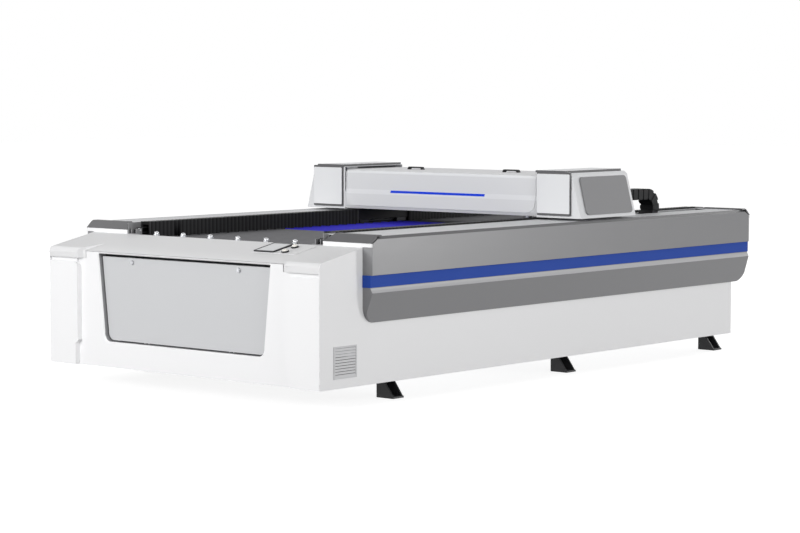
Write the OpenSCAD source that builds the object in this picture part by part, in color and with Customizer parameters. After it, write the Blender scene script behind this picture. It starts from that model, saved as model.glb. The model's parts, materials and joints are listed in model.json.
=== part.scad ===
// Flatbed laser cutting machine: a long white body with an open bed and a travelling gantry.
// Sizes in millimetres. X runs across the bed, Y from the front cover to the rear, Z up from the floor.

/* [Body] */
// Length over everything, front cover to the rear ends of the side guards
overall_l = 3630; // [3400:10:4200]
// Width across the white side panels
body_w = 1900; // [1800:10:2200]
// How far the side guards run on behind the rear panel
rear_overhang = 109; // [90:1:130]
// Height of the body's underside above the floor
body_z = 100; // [80:1:160]
// Height of the side beams' top
beam_z = 812; // [790:1:860]
// Thickness of the folded sheet
sheet_t = 3; // [2:0.5:4]
// Gap left between pieces that are welded or bolted side by side
weld_gap = 0.5; // [0.2:0.1:0.8]

/* [Frame] */
// Side of the square frame tubes
tube_w = 80; // [60:1:90]
// Wall of the frame tubes
tube_wall = 5; // [3:0.5:8]
// Distance from the body's centre to the middle of a sill tube
sill_x = 830; // [780:1:860]
// Width of a beam and its way, from the body's side inwards
beam_w = 260; // [240:1:300]
// Height of the beam's lower box section
beam_h = 175; // [140:1:200]
// Height of the guide-rail bed
way_z = 735; // [720:1:745]
// Width of the upper box section that carries the top plate
riser_w = 147; // [120:1:155]

/* [Feet] */
// Front face of the first pair of feet
foot_y = 598; // [560:1:640]
// Width of a foot across the machine
foot_w = 110; // [90:1:130]
// Depth of a foot along the machine
foot_d = 80; // [60:1:90]
// Thickness of a foot's plates
foot_t = 10; // [6:1:12]
// Diameter of the anchor hole
foot_hole_d = 18; // [12:1:22]

/* [Front cover] */
// How far the corner pads stand in front of the fascia
pad_d = 24; // [20:1:40]
// Width of a corner pad at its upper part
pad_w = 210; // [180:1:230]
// How much the pad narrows below its step
pad_step = 17; // [8:1:25]
// Height of the pad's step
pad_step_z = 230; // [200:1:300]
// Top of the corner pad
pad_top = 631; // [600:1:640]
// Radius of the pad's upper inner corner
pad_r = 35; // [20:1:50]
// Depth of the groove between the pad and the nose
groove_back = 12; // [8:1:16]
// How far the pad's inner flank leans back
pad_flank = 8; // [5:1:20]
// Underside of the deck's rounded nose
nose_z = 651; // [645:1:660]
// Height where the nose meets the sloping deck
deck_z = 705; // [700:1:710]
// Setback of the sloping deck from the front
nose_d = 24; // [18:1:30]
// Length of the deck from front to bed
deck_l = 306; // [290:1:330]
// Slope of the deck in degrees
deck_slope = 11.4; // [9:0.1:13]
// Half width of the deck's recess at its mouth
recess_hw = 700; // [680:1:720]
// How far the recess cuts back into the deck
recess_d = 108; // [95:1:120]
// Lower edge of the recess's bevel
bevel_z = 690; // [686:1:695]

/* [Access panel] */
// Half width of the fascia's opening along its top
door_top_hw = 605; // [590:1:620]
// Half width of the opening along its bottom
door_low_hw = 562; // [520:1:575]
// Bottom of the opening
door_z0 = 231; // [200:1:260]
// Top of the opening
door_z1 = 678; // [670:1:680]
// Chamfer round the front edge of the opening
mouth = 6; // [3:0.5:8]
// Gap between the panel and its opening
door_gap = 7; // [6:0.5:8]
// How much lower the panel's top edge sits than its sides' gap asks
door_drop = 8; // [0:1:10]
// Radius of the opening's lower corners
door_r = 42; // [25:1:60]
// Set-back of the panel's face behind the fascia
door_set = 25; // [20:1:30]
// Depth of the panel's turned edge
door_edge = 24; // [16:1:30]
// Distance of a latch from the middle
latch_x = 377; // [250:1:450]
// Height of the latches
latch_z = 641; // [600:1:641]
// Diameter of a latch's knob
latch_d = 24; // [18:1:28]
// Radius of the panel's hinge pins
hinge_r = 4; // [3:0.5:5]
// Distance of a hinge from the middle
hinge_x = 300; // [200:1:400]

/* [Side guards] */
// How far the guards stand out from the body
guard_d = 55; // [45:1:70]
// Front end of the guards
guard_y = 304; // [296:1:305]
// Lower edge of the guards
guard_z0 = 399; // [360:1:430]
// Lower edge of the blue stripe's groove
groove_z0 = 568; // [555:1:580]
// Upper edge of the groove
groove_z1 = 630; // [620:1:650]
// Depth of the groove
groove_d = 12; // [8:1:20]
// Height of the facet below the groove
facet_h = 23; // [15:1:30]
// Size of the chamfer along the guard's top edge
guard_chamfer = 13; // [8:1:18]
// Radius of the guard's lower corners, seen from the side
guard_r = 75; // [40:1:90]
// Thickness of the blue stripe
stripe_t = 3; // [2:0.5:5]

/* [Beam caps] */
// Lower edge of the white plinth strip
plinth_z0 = 764; // [763:1:768]
// Top of the plinth strip, where the grey cap begins
plinth_z1 = 783; // [780:1:790]
// Length of a cap along the beam
cap_l = 78; // [70:1:90]
// Rise of a cap above the top plate
cap_rise = 7; // [4:1:9]
// Setback of a cap's top at its inner end
cap_hip = 50; // [10:1:60]
// Thickness of the end bracket of the bellows
bracket_t = 6; // [4:0.5:8]

/* [Bellows] */
// Distance of the front bellows' end behind the beam's front
bellows_set = 85; // [60:1:100]
// Width of the bellows across the way
bellows_w = 77; // [70:1:77]
// Height of the bellows' top above the beam
bellows_rise = 11; // [6:1:12]
// Fold-to-fold pitch of the bellows
fold_pitch = 28; // [20:1:40]
// Depth of a fold
fold_d = 14; // [8:1:15]
// Width of the tunnel inside the bellows
tunnel_w = 44; // [40:1:46]

/* [Bed] */
// Height of the slats' top edge
bed_z = 745; // [742:1:748]
// Height of a slat
slat_h = 40; // [30:1:50]
// Thickness of a slat
slat_t = 5; // [3:0.5:8]
// Pitch of the slats
slat_pitch = 70; // [50:1:100]
// Width of a carrier rail under the slats
carrier_w = 44; // [30:1:60]
// Height of the carrier rails
carrier_h = 60; // [40:1:70]
// Depth of the front and rear border plates
border_d = 46; // [40:1:60]
// Thickness of the border plates
border_t = 4; // [3:0.5:6]
// Depth of the scrap tray
tray_h = 120; // [80:1:160]

/* [Ball transfers] */
// Number of ball transfers
ball_n = 6;
// Diameter of a ball
ball_d = 25; // [20:0.5:28]
// Pitch of the balls
ball_pitch = 196; // [150:1:210]
// Distance of the balls behind the deck
ball_y = 20; // [17:1:24]
// Height of a ball's centre above the border plate
ball_rise = 25; // [18:1:27]
// Wall of a ball's cup
cup_wall = 3; // [2:0.5:5]
// How far a cup's rim lies below the ball's centre
cup_drop = 2; // [1:0.5:4]
// Running gap round a ball
ball_gap = 0.3; // [0.2:0.05:0.5]

/* [Control panel] */
// Distance of the panel's left edge from the middle
console_x = 385; // [360:1:400]
// Width of the panel
console_w = 295; // [285:1:320]
// Distance of the panel up the slope
console_v = 102; // [98:1:108]
// Length of the panel up the slope
console_l = 158; // [155:1:165]
// Width of the screen's frame
screen_w = 135; // [110:1:150]
// Width of the screen's black rim
screen_rim = 9; // [6:1:14]
// Diameter of the buttons' bases
button_d = 34; // [26:1:38]
// Travel of a button
button_travel = 4; // [2:0.5:5]

/* [Vent] */
// Front edge of the vent in the right side panel
vent_y = 97; // [80:1:110]
// Lower edge of the vent
vent_z = 147; // [130:1:180]
// Width of the vent
vent_w = 162; // [140:1:170]
// Height of the vent
vent_h = 155; // [120:1:180]
// Number of vent slats
vent_n = 10; // [6:1:14]

/* [Rear outlets] */
// Outside diameter of an exhaust spigot
spigot_d = 150; // [125:1:200]
// Length of a spigot behind the rear panel
spigot_l = 85; // [60:1:100]
// Distance of a spigot from the middle
spigot_x = 400; // [300:1:500]
// Height of the spigots
spigot_z = 330; // [300:1:400]
// Bore of the cable gland
gland_d = 14; // [10:1:20]

/* [Way drive] */
// Width of a guide rail
rail_w = 23; // [20:1:25]
// Height of a guide rail
rail_h = 22; // [18:1:24]
// Radius of the belt pulleys
pulley_r = 11.5; // [10:0.5:12]
// Thickness of the drive belts
belt_t = 2.5; // [1.5:0.5:2.5]
// Width of the drive belts
belt_w = 18; // [12:1:20]
// Height of the pulley axes above the guide-rail bed
pulley_rise = 45; // [44:1:47]
// Side of the square motors
motor_w = 57; // [50:1:58]
// Length of the motors
motor_l = 76; // [60:1:80]

/* [Gantry] */
// Distance from the parked gantry's front face to the machine's rear end
gantry_park = 1625; // [1500:5:1700]
// Depth of the front cover's lower lip
cover_lip = 30; // [20:1:40]
// Height of the front cover's lower chamfer
cover_edge = 21; // [14:1:28]
// Radius of the raised skin's lower corners
skin_r = 60; // [40:1:80]
// Depth of the gantry
gantry_d = 505; // [490:1:520]
// Clearance of the gantry above the beams' top
gantry_gap = 15; // [14:1:20]
// Height of the end housings
gantry_h = 241; // [235:1:260]
// How far the ends lean in over that height
gantry_lean = 63; // [50:1:80]
// Drop of the middle cover below the end housings
cover_drop = 15; // [10:1:20]
// Distance of the end housings' foot from the guard's outer face
gantry_inset = 20; // [10:1:30]
// Width of the front plate on an end housing
plate_w = 216; // [190:1:218]
// Thickness of the dark backing under an end housing's front plate
backing_t = 12; // [8:1:16]
// Thickness of the front plate's light face
face_t = 4; // [3:0.5:6]
// Thickness of the side panel on an end housing
side_t = 10; // [6:1:12]
// Set-back of the upper front face above the light band
band_d = 8; // [5:1:12]
// Lower edge of the light band above the gantry's underside
band_z0 = 89; // [80:1:95]
// Height of the light band
band_h = 26; // [18:1:32]

/* [Gantry works] */
// Side of the cross beam along the machine
cross_d = 100; // [80:1:110]
// Height of the cross beam
cross_h = 120; // [110:1:125]
// Diameter of the laser tube
laser_d = 80; // [60:1:85]
// Length of the laser tube
laser_l = 1650; // [1500:10:1700]
// Distance of the parked head from the middle
head_x = 540; // [500:1:550]
// Width of the head carriage
head_w = 120; // [100:1:125]
// Diameter of the lens tube
lens_d = 44; // [36:1:50]
// Height of the nozzle above the slats
nozzle_gap = 17; // [14:1:25]
// Length of a lid handle
handle_l = 118; // [100:1:130]
// Height of a lid handle
handle_h = 16; // [12:1:24]
// Distance of the handles behind the gantry's front
handle_y = 222; // [200:1:300]
// Distance of a lid handle from the middle
handle_x = 345; // [250:1:420]

/* [Cable chain] */
// Width of the chain
chain_w = 92; // [80:1:95]
// Height of the chain
chain_h = 60; // [50:1:62]
// Pitch of the links
link_pitch = 46; // [36:1:60]
// Height of the upper run's underside above the guide-rail bed
chain_rise = 158; // [150:1:160]
// Distance of the bend's centre behind the gantry
chain_reach = 390; // [380:1:420]
// How far the chain's bend can run towards the front
chain_fore = 775; // [760:1:800]
// Length of the chain lying in the channel
chain_tail = 700; // [500:1:800]

/* [Hidden] */
$fn = 48;
eps = 0.05;
fit = 0.3;
body_l = overall_l - rear_overhang;
half_w = body_w / 2;
foot_pitch = (body_l - sheet_t - tube_w - foot_y) / 2;
guard_x = half_w + guard_d;
way_x1 = half_w - beam_w;
bellows_x1 = way_x1 - weld_gap;
bellows_x0 = bellows_x1 - bellows_w;
way_x = (bellows_x0 + bellows_x1) / 2;
beam_x0 = bellows_x0 + 2;
beam_x1 = half_w - sheet_t;
riser_x = beam_x1 - riser_w;
end_gap = 10;
beam_y0 = deck_l + end_gap;
beam_mid = (guard_y - stripe_t + overall_l) / 2;
beam_y1 = 2 * beam_mid - beam_y0;
cap_back = 39;
riser_y0 = deck_l + cap_back;
riser_y1 = 2 * beam_mid - riser_y0;
plate_z = beam_z + sheet_t;
cap_z = plate_z + cap_rise;
bed_hw = bellows_x0 - 8;
bed_y0 = deck_l + border_d;
bed_y1 = body_l - border_d - 43;
bed_third = (bed_y1 - bed_y0) / 3;
slat_z0 = bed_z - slat_h;
carrier_z0 = slat_z0 - carrier_h;
feet_y = [for (i = [0:2]) foot_y + i * foot_pitch];
sill_z1 = body_z + tube_w;
cross_ys = [bed_y0, bed_y0 + bed_third - tube_w / 2, bed_y0 + 2 * bed_third - tube_w / 2, bed_y1 - tube_w];
fascia_y = pad_d;
door_y = fascia_y + door_set;
door_hinge_y = door_y + 12;
door_hinge_z = door_z0 + door_gap + 10;
deck_back_z = deck_z + (deck_l - nose_d) * tan(deck_slope);
groove_x = guard_d - groove_d;
pulley_z = way_z + pulley_rise;
belt_r = pulley_r + fit;
idler_r = 4;
pulley_room = belt_r + belt_t + 8;
front_pulley_y = beam_y0 + 29;
rear_pulley_y = riser_y1 - motor_w / 2 - 2;
gantry_y = overall_l - gantry_park;
gantry_z = beam_z + gantry_gap;
gantry_top = gantry_z + gantry_h;
cover_top = gantry_top - cover_drop;
gantry_back = gantry_y + gantry_d;
gantry_x = guard_x - gantry_inset;
housing_x = way_x1 + weld_gap;
lean_deg = atan(gantry_lean / gantry_h);
lean_l = gantry_h / cos(lean_deg);
cross_y = gantry_y + 205;
cross_z = gantry_z + 53;
cross_hw = way_x1 + 190;
carriage_y0 = gantry_y + 30;
carriage_y1 = gantry_back - 30;
carriage_z0 = way_z + rail_h + 5;
carriage_top = gantry_z - 5;
carriage_hw = 30;
block_h = 20;
x_axis_z = cross_z + cross_h - motor_w / 2;
x_end = way_x1 + 10;
belt_set = belt_w + 6;
head_y = cross_y - 38;
lens_y = head_y - 40;
chain_x = way_x1 + 60;
bend_y = gantry_back + chain_reach;
chain_low_z = way_z + 3;
chain_top_z = way_z + chain_rise;
bend_r0 = (chain_top_z - chain_low_z - chain_h) / 2;
bend_r1 = bend_r0 + chain_h;
lid_y0 = gantry_y + 47;
lid_y1 = gantry_back - 24;
lid_hinge_y = gantry_back - 12;
lid_hinge_z = cover_top - 9;
white = [0.95, 0.95, 0.95];
pale = [0.83, 0.84, 0.85];
mid_grey = [0.55, 0.55, 0.56];
dark_grey = [0.27, 0.27, 0.28];
black = [0.06, 0.06, 0.07];
blue = [0.16, 0.27, 0.62];
steel = [0.62, 0.64, 0.66];

// Shared shapes

// Moves the origin from the front cover to the middle of the machine
module placed() translate([0, -overall_l / 2, 0]) children();

// A child on the right and its mirror image on the left
module both_sides() {
    children();
    mirror([1, 0, 0]) children();
}

// A child at the front end of the beams and its mirror image at the rear end
module both_ends() {
    children();
    translate([0, 2 * beam_mid, 0]) mirror([0, 1, 0]) children();
}

// A box given by its limits
module bar(x0, x1, y0, y1, z0, z1) translate([x0, y0, z0]) cube([x1 - x0, y1 - y0, z1 - z0]);

// A flat shape in Y and Z, extruded along X
module along_x(x0, x1) translate([x0, 0, 0]) rotate([90, 0, 90]) linear_extrude(x1 - x0) children();

// A flat shape in X and Z, extruded along Y
module along_y(y0, y1) translate([0, y1, 0]) rotate([90, 0, 0]) linear_extrude(y1 - y0) children();

// A round bar along X
module rod_x(r, x0, x1, y, z) translate([x0, y, z]) rotate([0, 90, 0]) cylinder(r = r, h = x1 - x0);

// A round bar along Y
module rod_y(r, y0, y1, x, z) translate([x, y0, z]) rotate([-90, 0, 0]) cylinder(r = r, h = y1 - y0);

// A rectangular tube with its walls left open along one axis: 0 is X, 1 is Y, 2 is Z
module tube(x0, x1, y0, y1, z0, z1, axis, wall = tube_wall) {
    cut = [for (i = [0:2]) i == axis ? -1 : wall];
    difference() {
        bar(x0, x1, y0, y1, z0, z1);
        bar(x0 + cut[0], x1 - cut[0], y0 + cut[1], y1 - cut[1], z0 + cut[2], z1 - cut[2]);
    }
}

// A rectangle with rounded corners
module rounded(w, h, r) {
    translate([r, 0]) square([w - 2 * r, h]);
    translate([0, r]) square([w, h - 2 * r]);
    for (x = [r, w - r], y = [r, h - r]) translate([x, y]) circle(r);
}

// Places a child on the sloping deck: Y runs up the slope and Z stands square to it
module on_deck() translate([0, nose_d, deck_z]) rotate([deck_slope, 0, 0]) children();

// A belt round two pulleys, in the plane of Y and Z
module belt_loop(span, r, t) difference() {
    union() {
        translate([0, -r - t]) square([span, 2 * (r + t)]);
        circle(r + t);
        translate([span, 0]) circle(r + t);
    }
    translate([0, -r]) square([span, 2 * r]);
    circle(r);
    translate([span, 0]) circle(r);
}

// Frame and feet

module base_frame() color(dark_grey) placed() {
    x0 = sill_x - tube_w / 2;
    x1 = sill_x + tube_w / 2;
    both_sides() {
        tube(x0, x1, fascia_y + 10, body_l - 10, body_z, sill_z1, 1);
        for (y = feet_y)
            tube(x0, x1, y, y + tube_w, sill_z1 + weld_gap, way_z - beam_h - weld_gap, 2);
    }
    for (y = feet_y) tube(-x0 + weld_gap, x0 - weld_gap, y, y + tube_w, body_z, sill_z1, 0);
    inner = beam_x0 - weld_gap;
    for (y = cross_ys) tube(-inner, inner, y, y + tube_w, carrier_z0 - tube_w, carrier_z0, 0);
    border_z = bed_z - border_t;
    front_hw = bellows_x0 - weld_gap;
    tube(-front_hw, front_hw, beam_y0, bed_y0 - weld_gap, border_z - 60, border_z, 0);
}

module floor_feet() color(black) placed() both_sides() for (y = feet_y) {
    x0 = sill_x - foot_w / 2 + 5;
    x1 = x0 + foot_w;
    rib = [[x0, foot_t], [x1 - 6, foot_t], [x0 + 45, body_z - foot_t], [x0, body_z - foot_t]];
    difference() {
        union() {
            bar(x0, x1, y, y + foot_d, 0, foot_t);
            bar(x0, x0 + foot_t, y, y + foot_d, 0, body_z);
            bar(x0, x0 + 60, y, y + foot_d, body_z - foot_t, body_z);
            for (v = [y, y + foot_d - foot_t]) along_y(v, v + foot_t) polygon(rib);
        }
        translate([x1 - 30, y + foot_d / 2, -1]) cylinder(d = foot_hole_d, h = foot_t + 2);
    }
}

module side_beams() color(mid_grey) placed() both_sides() {
    tube(beam_x0, beam_x1, beam_y0, beam_y1, way_z - beam_h, way_z, 1, 6);
    for (y = [beam_y0, beam_y1 - sheet_t]) bar(beam_x0 + 1, beam_x1 - 1, y, y + sheet_t, way_z - beam_h + 1, way_z - 1);
    tube(riser_x, beam_x1, riser_y0, riser_y1, way_z + weld_gap, beam_z, 1, 4);
}

// White body

// Outline of the deck's nose and slope in Y and Z, drawn in by o
module deck_outline(o, y1, z0) {
    r = nose_d;
    rise = tan(deck_slope);
    top = deck_z - o / cos(deck_slope);
    polygon([[o, z0], [o, deck_z - r], [r, top + (r - nose_d) * rise], [y1, top + (y1 - nose_d) * rise], [y1, z0]]);
    intersection() {
        translate([r, deck_z - r]) circle(r - o);
        translate([o, deck_z - r]) square(r);
    }
}

module side_sheet() along_x(beam_x1, half_w) difference() {
    union() {
        translate([0, body_z]) square([guard_y, nose_z - body_z]);
        translate([0, body_z]) square([body_l, plinth_z0 - body_z - weld_gap]);
        translate([riser_y0, body_z]) square([body_l - riser_y0, beam_z - body_z]);
    }
    difference() {
        translate([-1, nose_z]) square([deck_l + 1, beam_z]);
        deck_outline(0, deck_l + 2, nose_z - 1);
    }
}

module side_panels() color(white) placed() {
    rim = 4;
    difference() {
        side_sheet();
        bar(half_w - 20, half_w + 1, vent_y + rim, vent_y + vent_w - rim, vent_z + rim, vent_z + vent_h - rim);
    }
    mirror([1, 0, 0]) side_sheet();
}

module rear_panel() color(white) placed() {
    x = beam_x1 - weld_gap;
    difference() {
        union() {
            bar(-x, x, body_l - sheet_t, body_l, body_z, way_z - beam_h - weld_gap);
            bar(-beam_x0 + 1, beam_x0 - 1, body_l - sheet_t, body_l, body_z, bed_z - border_t);
        }
        for (s = [-1, 1]) rod_y(spigot_d / 2 - 3, body_l - 10, body_l + 1, s * spigot_x, spigot_z);
        rod_y(gland_d / 2, body_l - 10, body_l + 1, sill_x - 130, body_z + 110);
    }
}

module vent_louvre() color(white) placed() {
    lip = 8;
    pitch = (vent_h - 2 * lip) / vent_n;
    difference() {
        bar(half_w, half_w + 4, vent_y, vent_y + vent_w, vent_z, vent_z + vent_h);
        bar(half_w - 1, half_w + 5, vent_y + lip, vent_y + vent_w - lip, vent_z + lip, vent_z + vent_h - lip);
    }
    for (i = [0:vent_n - 1]) {
        z = vent_z + lip + i * pitch;
        slat = [[half_w + 1, z], [half_w + 3.5, z], [half_w + 3.5, z + 4], [half_w + 1, z + pitch * 0.8]];
        along_y(vent_y + lip - 1, vent_y + vent_w - lip + 1) polygon(slat);
    }
}

// Trapezoid of the front opening with rounded lower corners, drawn in by o and lowered at the top by drop
module door_shape(o, drop = 0) {
    low = door_low_hw - o;
    r = door_r;
    z0 = door_z0 + o;
    z1 = door_z1 - o - drop;
    top = door_top_hw - o - drop * (door_top_hw - door_low_hw) / (door_z1 - door_z0);
    side = atan((top - low) / (z1 - z0));
    polygon([[-top, z1], [top, z1], [low, z0 + r], [low - r, z0], [-low + r, z0], [-low, z0 + r]]);
    for (s = [-1, 1]) intersection() {
        translate([s * (low - r + r * sin(side) / 4), z0 + r]) circle(r);
        translate([s * (low - r) - (s < 0 ? 2 * r : 0), z0]) square([2 * r, 2 * r]);
        polygon([[-top, z1], [top, z1], [low + (top - low) * r / (z1 - z0), z0 + r], [low, z0], [-low, z0],
            [-low - (top - low) * r / (z1 - z0), z0 + r]]);
    }
}

// The opening's chamfered mouth and the straight return behind it, grown by t
module door_mouth(t) {
    y0 = fascia_y + mouth;
    hull() {
        along_y(fascia_y - eps, fascia_y) door_shape(-mouth - t);
        along_y(y0, y0 + eps) door_shape(-t);
    }
    along_y(y0, door_y + door_edge + (t > 0 ? 0 : 1)) door_shape(-t);
}

module front_fascia() color(white) placed() {
    x = beam_x1 - weld_gap;
    lip = door_set + door_edge;
    ear = 8;
    difference() {
        union() {
            bar(-x, x, fascia_y, fascia_y + sheet_t, body_z, nose_z - weld_gap);
            bar(-recess_hw + 6, recess_hw - 6, fascia_y, fascia_y + sheet_t, nose_z - 1, bevel_z - 3.7);
            intersection() {
                door_mouth(sheet_t);
                bar(-half_w, half_w, fascia_y, body_l, body_z, beam_z);
            }
        }
        door_mouth(0);
    }
    for (s = [-1, 1], d = [-1, 1]) {
        x0 = s * hinge_x + d * 15 - ear / 2;
        difference() {
            union() {
                bar(x0, x0 + ear, door_hinge_y - hinge_r - 2, fascia_y + lip + ear, door_hinge_z - 6, door_hinge_z + 6);
                bar(x0, x0 + ear, fascia_y + lip - 1, fascia_y + lip + ear, door_z0 - sheet_t, door_hinge_z);
            }
            rod_x(hinge_r + 0.05, x0 - 1, x0 + ear + 1, door_hinge_y, door_hinge_z);
        }
    }
}

// Raised pad of the right-hand corner, drawn in by o
module corner_pad(o) {
    x0 = half_w - pad_w - pad_flank + o;
    x1 = beam_x1 - weld_gap - o;
    z0 = body_z + o;
    z1 = pad_top - o;
    difference() {
        along_y(o, fascia_y - weld_gap + (o > 0 ? 2 : 0)) {
            translate([x0 + pad_r, z0]) square([x1 - x0 - pad_r, z1 - z0]);
            translate([x0, pad_step_z]) square([pad_r + 1, z1 - pad_r - pad_step_z]);
            translate([x0 + pad_r, z1 - pad_r]) circle(pad_r);
            polygon([[x0, pad_step_z + eps], [x0 + pad_step, pad_step_z - pad_step], [x0 + pad_step, z0], [x0 + pad_r + 1, z0],
                [x0 + pad_r + 1, pad_step_z + eps]]);
        }
        flank = [[x0 - 1, o - 1], [x0 + pad_flank, o - 1], [x0 + pad_flank, o], [x0, fascia_y], [x0 - 1, fascia_y]];
        translate([0, 0, pad_step_z]) linear_extrude(pad_top) polygon(flank);
        translate([pad_step, 0, body_z - 1]) linear_extrude(pad_step_z - pad_step - body_z + 1) polygon(flank);
    }
}

module corner_covers() color(white) placed() both_sides() {
    difference() {
        corner_pad(0);
        corner_pad(sheet_t);
    }
    x0 = half_w - pad_w + groove_back;
    bar(x0, beam_x1 - weld_gap, groove_back, fascia_y - weld_gap, pad_top - sheet_t, nose_z - weld_gap);
}

// The deck's volume, drawn in by o: a sloping top with a rounded nose and a bevelled recess in the middle
module deck_form(o) {
    x = beam_x1 - o;
    z0 = o > 0 ? nose_z - 5 : nose_z;
    rise = tan(deck_slope);
    back_z = deck_z + (recess_d - nose_d) * rise;
    difference() {
        along_x(-x, x) deck_outline(o, deck_l - o, z0);
        intersection() {
            hw = recess_hw + o;
            along_x(-half_w, half_w) polygon([[-5, nose_z - 6], [fascia_y + weld_gap + o, nose_z - 6],
                [fascia_y + weld_gap + o, bevel_z - o], [recess_d + o, back_z - o / 2], [recess_d + o, back_z + 30], [-5, back_z + 30]]);
            translate([0, 0, nose_z - 10]) linear_extrude(beam_z) polygon([[-hw - 40, -6], [hw + 40, -6],
                [hw - 60, recess_d + 10 + o], [-hw + 60, recess_d + 10 + o]]);
        }
    }
}

module front_deck() color(pale) placed() difference() {
    deck_form(0);
    deck_form(sheet_t);
    bar(-recess_hw + 2, recess_hw - 2, fascia_y - 1, recess_d, nose_z - 1, bevel_z - 1.5);
}

// Side guards

// Section of a guard in X and Z, drawn in by o and closed against the body
module guard_section(o) {
    z1 = plate_z - o;
    polygon([[half_w - (o > 0 ? 9 : 0), guard_z0 + o], [half_w + 8 - o, guard_z0 + o],
        [guard_x - o, groove_z0 - facet_h + o / 2], [half_w + groove_x - o, groove_z0 + o / 2],
        [half_w + groove_x - o, groove_z1 + o], [guard_x - o, groove_z1 + o],
        [guard_x - o, z1 - guard_chamfer + o / 2], [guard_x - guard_chamfer + o / 2 - o, z1],
        [half_w + 25 - (o > 0 ? 60 : 0), z1], [half_w + 25 - (o > 0 ? 60 : 0), z1 - (o > 0 ? 0 : sheet_t)],
        [half_w - (o > 0 ? 9 : 0), z1 - (o > 0 ? 0 : sheet_t)]]);
}

// A guard's front end seen from the side, drawn in by o
module guard_side(o) {
    y0 = guard_y + o;
    z0 = guard_z0 + o;
    notch_y = beam_y0 + weld_gap + o;
    slope = (plate_z - plinth_z1) / (cap_l - 20);
    y_top = notch_y + (plate_z - plinth_z1) / slope;
    polygon([[y0 + guard_r, z0], [beam_mid + 1, z0], [beam_mid + 1, plate_z + 1], [y_top + 1 / slope, plate_z + 1],
        [notch_y, plinth_z1], [notch_y, plinth_z0 - weld_gap - o], [y0, plinth_z0 - weld_gap - o], [y0, z0 + guard_r]]);
    intersection() {
        translate([y0 + guard_r, z0 + guard_r]) circle(guard_r);
        translate([y0, z0]) square(guard_r + 1);
    }
}

// One half of the right-hand guard, drawn in by o; its front end leans back towards the outside
module guard_half(o) intersection() {
    along_y(guard_y - 1, beam_mid + 1) guard_section(o);
    along_x(half_w - 60, guard_x + 1) guard_side(o);
    linear_extrude(beam_z + 50) polygon([[half_w - 60, guard_y + o - 12], [half_w, guard_y + o], [guard_x + 1, guard_y + 10 + o],
        [guard_x + 1, beam_mid + 1], [half_w - 60, beam_mid + 1]]);
}

module side_guards() color(mid_grey) placed() both_sides() difference() {
    both_ends() guard_half(0);
    both_ends() guard_half(sheet_t);
}

module guard_stripes() color(blue) placed() both_sides() both_ends() {
    x0 = half_w + groove_x + 0.2;
    x1 = x0 + stripe_t;
    y0 = guard_y + 10 * groove_x / guard_d;
    inset = 1;
    stripe_z = groove_z0 + 3;
    translate([0, 0, stripe_z]) linear_extrude(groove_z1 - stripe_z - 0.2)
        polygon([[half_w + inset, guard_y - stripe_t], [x1, y0 - stripe_t + 0.6], [x1, beam_mid + 1], [x0, beam_mid + 1],
            [x0, y0 - 0.1], [half_w + inset, guard_y - 0.1]]);
}

// Beam tops and way covers

// The right-hand top plate with its down-turned flange beside the way
module beam_plate() {
    bar(way_x1, half_w + 25 - weld_gap, riser_y0, riser_y1, beam_z, plate_z);
    difference() {
        bar(way_x1, way_x1 + sheet_t, riser_y0, riser_y1, way_z + weld_gap, beam_z + eps);
        rod_x(pulley_r + 1, way_x1 - 1, way_x1 + sheet_t + 1, rear_pulley_y, pulley_z);
    }
}

module top_plates() color(white) placed() {
    slot_hw = chain_w / 2 + 4;
    difference() {
        beam_plate();
        bar(chain_x - slot_hw, chain_x + slot_hw, bend_y - chain_fore, riser_y1 - 60, beam_z - 1, plate_z + 1);
    }
    mirror([1, 0, 0]) beam_plate();
}

// Front end of the right-hand way: a foot with two cheeks for the belt's idler, and a plate along the beam's flank
module front_bracket() difference() {
    cheek = tunnel_w / 2 - 5;
    union() {
        bar(bellows_x0, way_x1 + eps, beam_y0 - bracket_t / 2, beam_y0 + bracket_t / 2, way_z + weld_gap, way_z + rail_h + 8);
        bar(bellows_x1 - sheet_t, bellows_x1, beam_y0 - bracket_t / 2, beam_y0 + bellows_set - weld_gap,
            way_z + weld_gap, cap_z - 2);
        for (s = [-1, 1]) bar(way_x + s * cheek - 2, way_x + s * cheek + 2, beam_y0, front_pulley_y + 12,
            way_z + rail_h + 1, pulley_z + 10);
    }
    rod_x(idler_r + 0.05, way_x - tunnel_w, way_x + tunnel_w, front_pulley_y, pulley_z);
}

// Rear end of the right-hand way: a cover over the driven pulley, open below
module rear_bracket() difference() {
    y0 = rear_pulley_y - pulley_room;
    y1 = beam_y1 - bracket_t;
    union() {
        bar(bellows_x0, bellows_x1, y0, beam_y1, way_z + weld_gap, cap_z - 2);
        bar(bellows_x1 - 1, way_x1 + eps, riser_y1 + 2, beam_y1, plinth_z1 + 2, plate_z - 12);
    }
    bar(way_x - tunnel_w / 2, way_x + tunnel_w / 2, y0 - 1, y1, way_z - 1, beam_z - 5);
    rod_x(pulley_r + 1, way_x, bellows_x1 + 1, rear_pulley_y, pulley_z);
}

// The sloping grey end of the right-hand beam
module cap_wedge() intersection() {
    z1 = plinth_z1 + 0.2;
    union() {
        cap_slope(z1);
        along_x(way_x1, half_w) polygon([[deck_l, z1], [riser_y0 - weld_gap, plate_z - 5], [riser_y0 - weld_gap, z1]]);
    }
    along_y(deck_l - 1, deck_l + cap_l + 1) polygon([[way_x1, z1 - 1], [guard_x, z1 - 1], [guard_x, cap_z - 6],
        [guard_x - 6, cap_z + 1], [way_x1 + cap_hip, cap_z + 1], [way_x1, z1 + 6]]);
}

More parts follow.
